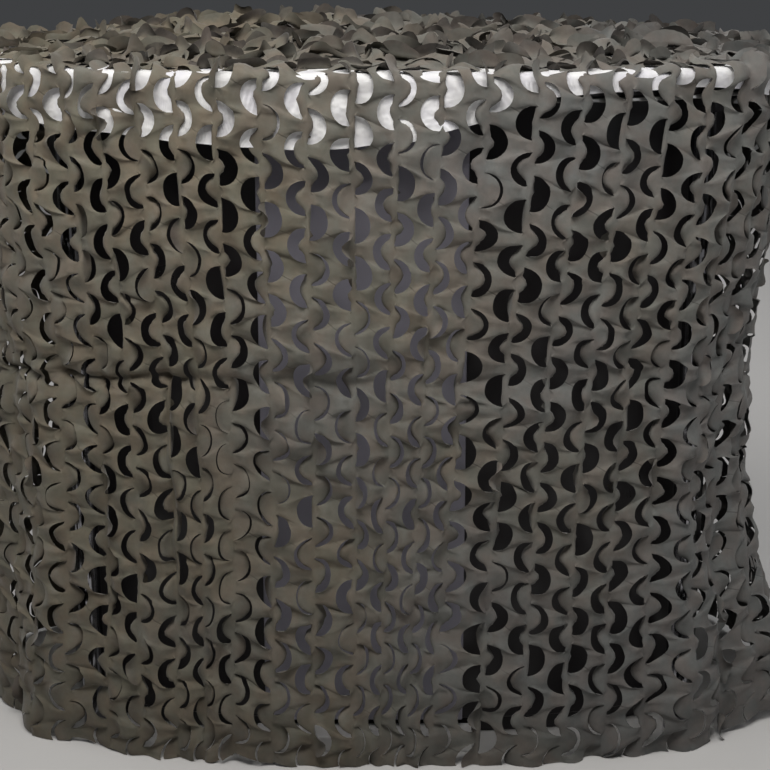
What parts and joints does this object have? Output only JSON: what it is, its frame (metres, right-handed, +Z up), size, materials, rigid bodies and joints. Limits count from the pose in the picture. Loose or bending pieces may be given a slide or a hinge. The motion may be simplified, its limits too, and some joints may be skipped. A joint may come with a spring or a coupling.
{
  "type": "camouflage net over a round-cornered table",
  "caption": "Camouflage net with half-round cut leaves, draped to the floor over a round-cornered table with a white cloth under it.",
  "frame": {"origin": "on the floor under the middle of the table, in the underside of the plinth", "axes": "+Z up, -Y towards the front with the grey panel, +X to the right seen from the front, along the table"},
  "size_m": [0.9296, 0.4799, 0.7568],
  "materials": {
    "net_cloth": "matt grey-olive coated fabric, incised with half-round leaves",
    "white_cloth": "smooth white tablecloth",
    "black_gloss": "gloss black laminate",
    "grey_board": "flat grey board",
    "pale_board": "satin off-white",
    "pale_metal": "satin",
    "polished_steel": "polished"
  },
  "bodies": {
    "root": {"camouflage_net": "net_cloth", "white_undercloth": "white_cloth", "table_top": "black_gloss", "table_trim": "pale_metal", "cabinet": "black_gloss", "plinth": "black_gloss", "front_panel": "grey_board", "foot_plate": "pale_board", "front_left_post": "polished_steel", "front_right_post": "polished_steel", "back_left_post": "polished_steel", "back_right_post": "polished_steel", "front_left_socket": "black_gloss", "front_right_socket": "black_gloss", "back_left_socket": "black_gloss", "back_right_socket": "black_gloss"}
  },
  "joints": []
}
